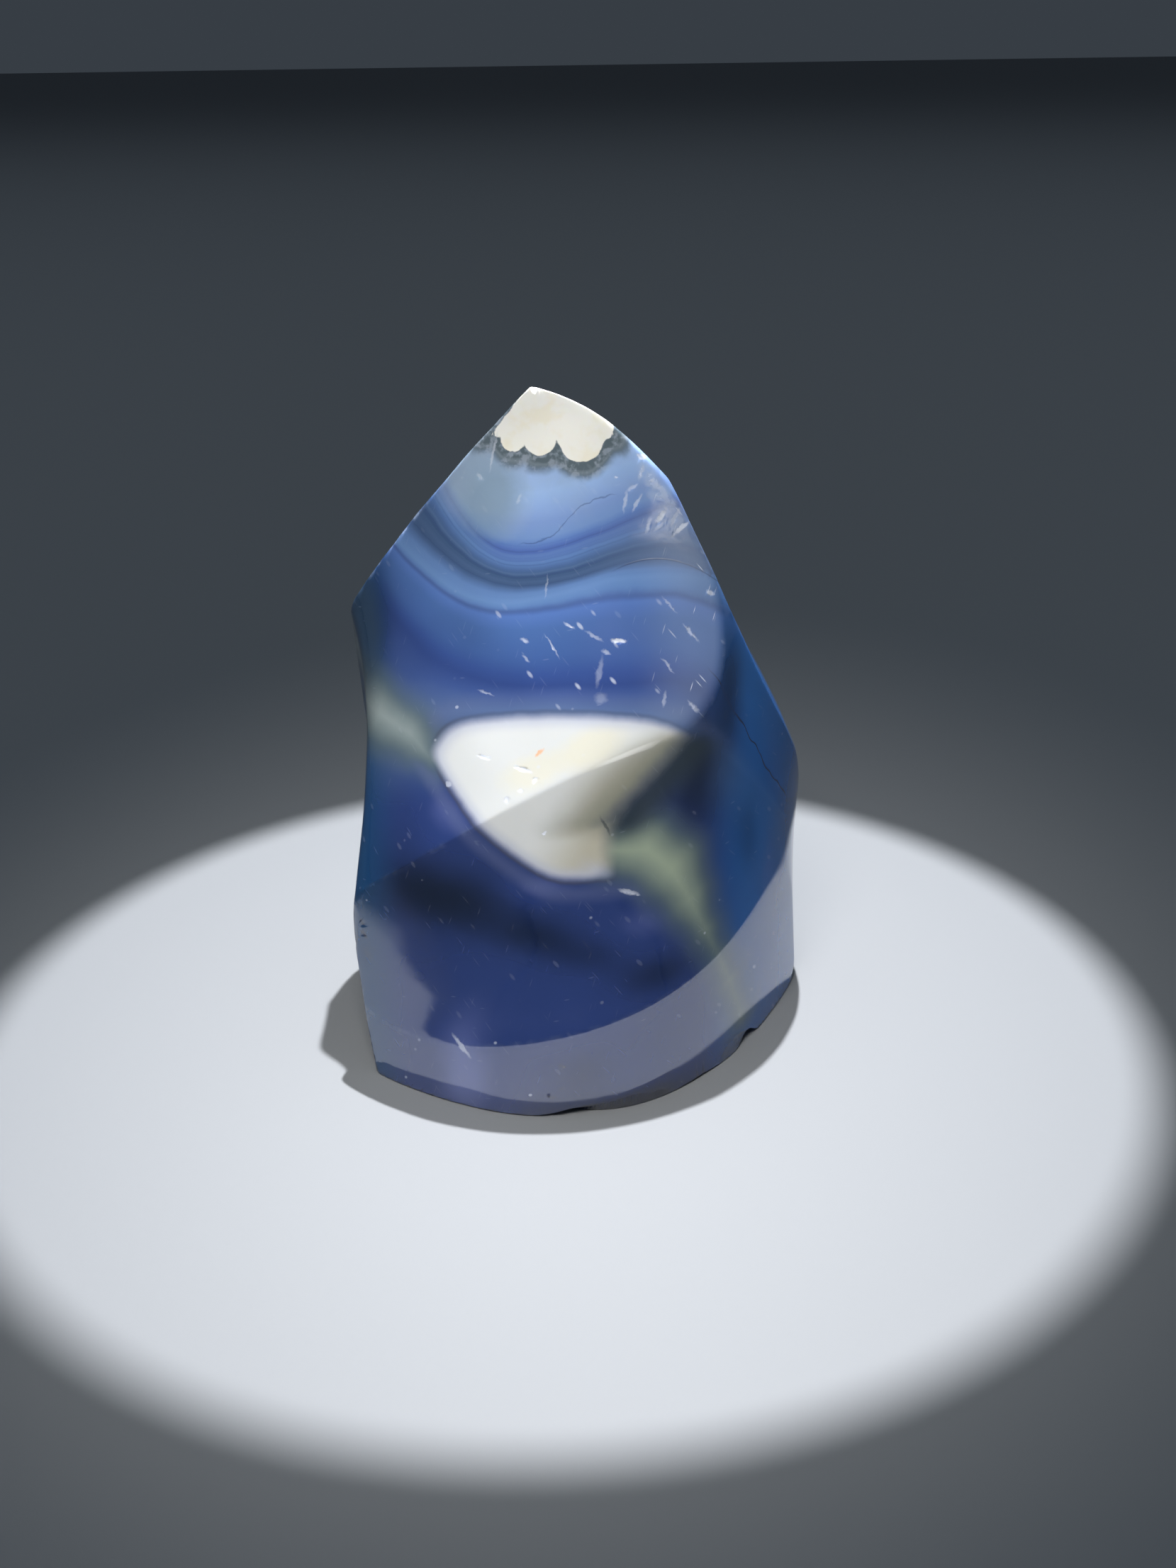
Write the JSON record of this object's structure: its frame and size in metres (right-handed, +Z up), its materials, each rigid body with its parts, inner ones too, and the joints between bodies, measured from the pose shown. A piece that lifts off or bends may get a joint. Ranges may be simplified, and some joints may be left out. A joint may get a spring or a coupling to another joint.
{
  "type": "polished agate freeform",
  "caption": "Free-standing polished agate freeform: a short twisted flame with soft ridges, a pointed tip and a flat base.",
  "frame": {"origin": "centre of the stone's outer box in plan, on the flat base", "axes": "+Z up, from the base to the tip; -Y towards the viewer of the banded front; +X to that viewer's right"},
  "size_m": [0.0552, 0.049, 0.0775],
  "materials": {
    "agate": "polished, slightly translucent"
  },
  "bodies": {
    "root": {"stone": "agate"}
  },
  "joints": []
}
